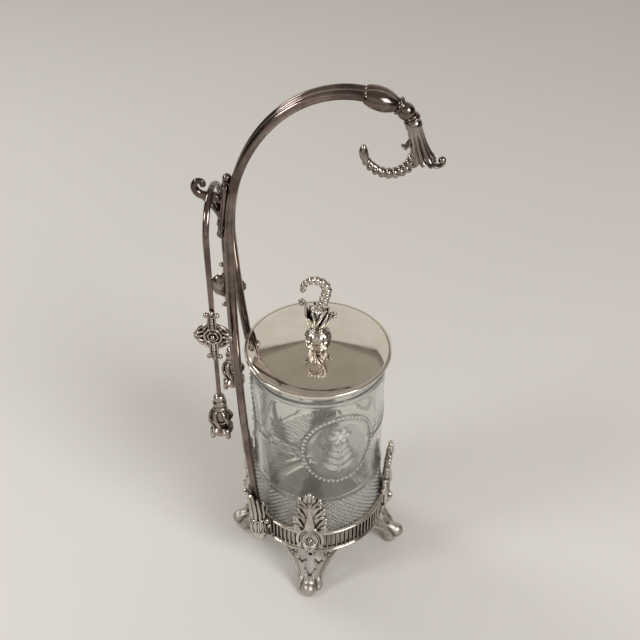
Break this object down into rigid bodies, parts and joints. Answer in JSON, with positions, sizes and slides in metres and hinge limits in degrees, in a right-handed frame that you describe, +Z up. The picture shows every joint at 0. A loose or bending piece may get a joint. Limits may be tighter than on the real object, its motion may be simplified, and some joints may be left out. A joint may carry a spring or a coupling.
{
  "type": "pickle castor",
  "caption": "Silver-plated pickle castor: footed stand with an arched handle, pressed-glass jar with a lift-off conical lid, and tongs that hang from a hook.",
  "frame": {"origin": "on the jar's axis at table level, under the middle of the tray", "axes": "+Z up along the jar's axis; the handle's arch lies in the X-Z plane and ends over +X; the tongs hang on the -X side; the front foot points to -Y"},
  "size_m": [0.1258, 0.1154, 0.3183],
  "materials": {
    "bright_silver": "polished silver plate, warm and bright",
    "tarnished_silver": "silver plate with a brown-purple tarnish and worn bright edges",
    "clear_glass": "clear pressed glass with raised ornament"
  },
  "bodies": {
    "stand": {"tray": "bright_silver", "gallery_wall": "bright_silver", "gallery_top_rim": "bright_silver", "gallery_foot_rim": "bright_silver", "foot_front": "bright_silver", "foot_right": "bright_silver", "foot_back": "bright_silver", "foot_left": "bright_silver", "mask_front": "bright_silver", "mask_right": "bright_silver", "mask_back": "bright_silver", "mask_left": "bright_silver", "crest_front": "bright_silver", "crest_right": "bright_silver", "crest_back": "bright_silver", "crest_left": "bright_silver", "rod_socket_front": "bright_silver", "rod_socket_back": "bright_silver", "handle_rod_front": "tarnished_silver", "handle_rod_back": "tarnished_silver", "terminal_bulb": "tarnished_silver", "terminal_upper_collar": "tarnished_silver", "terminal_ball": "tarnished_silver", "terminal_lower_collar": "tarnished_silver", "terminal_bell": "tarnished_silver", "terminal_tail": "tarnished_silver", "bracket_plate": "tarnished_silver", "bracket_hook": "tarnished_silver", "bracket_stud_upper": "tarnished_silver", "bracket_stud_lower": "tarnished_silver"},
    "jar": {"jar": "clear_glass"},
    "lid": {"lid_shell": "bright_silver", "lid_flange": "bright_silver", "finial_cushion": "bright_silver", "finial_nut": "bright_silver", "finial_cup": "bright_silver", "finial_curl": "bright_silver"},
    "tongs_bow": {"tongs_bow": "tarnished_silver"},
    "tongs_front": {"tongs_arm_front": "tarnished_silver", "cross_front": "tarnished_silver", "claw_knob_front": "tarnished_silver", "claw_front": "tarnished_silver"},
    "tongs_back": {"tongs_arm_back": "tarnished_silver", "cross_back": "tarnished_silver", "claw_knob_back": "tarnished_silver", "claw_back": "tarnished_silver"}
  },
  "joints": [
    {"name": "jar_lift", "type": "slide", "parent": "stand", "child": "jar", "axis": [0, 0, 1], "range_m": [0, 0.045]},
    {"name": "lid_lift", "type": "slide", "parent": "jar", "child": "lid", "axis": [0, 0, 1], "range_m": [0, 0.036]},
    {"name": "tongs_lift", "type": "slide", "parent": "stand", "child": "tongs_bow", "axis": [0, 0, 1], "range_m": [0, 0.17]},
    {"name": "tongs_front_squeeze", "type": "hinge", "parent": "tongs_bow", "child": "tongs_front", "pos_m": [-0.05416, -0.0206, 0.23761], "axis": [1, 0, 0], "range_deg": [0, 4.2], "stiffness_Nm_per_rad": 4},
    {"name": "tongs_back_squeeze", "type": "hinge", "parent": "tongs_bow", "child": "tongs_back", "pos_m": [-0.05416, 0.0206, 0.23761], "axis": [1, 0, 0], "range_deg": [-4.2, 0], "stiffness_Nm_per_rad": 4}
  ],
  "couplings": [
    {"joint": "tongs_back_squeeze", "follows": "tongs_front_squeeze", "ratio": -1}
  ]
}
